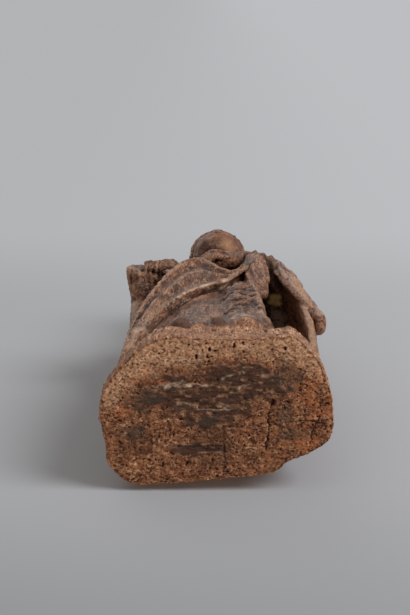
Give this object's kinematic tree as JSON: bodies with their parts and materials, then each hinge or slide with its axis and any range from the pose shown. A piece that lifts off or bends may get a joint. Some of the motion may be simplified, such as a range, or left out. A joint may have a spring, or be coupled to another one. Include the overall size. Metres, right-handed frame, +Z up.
{
  "type": "carved wooden bishop saint statue",
  "caption": "Standing figure of a bishop saint in mitre and cope, carved with its low plinth from one log; it stands on its flat underside, and a staff can pass through its closed right hand.",
  "frame": {"origin": "middle of the underside, on the surface that the figure stands on", "axes": "+Z up through the mitre, the figure faces -Y, and its own left side is at +X"},
  "size_m": [0.2934, 0.1944, 0.806],
  "materials": {
    "old_wood": "old dark patina, worm-eaten and porous on the underside and plinth, worn smooth on the raised folds"
  },
  "bodies": {
    "root": {"bishop_figure": "old_wood"}
  },
  "joints": []
}
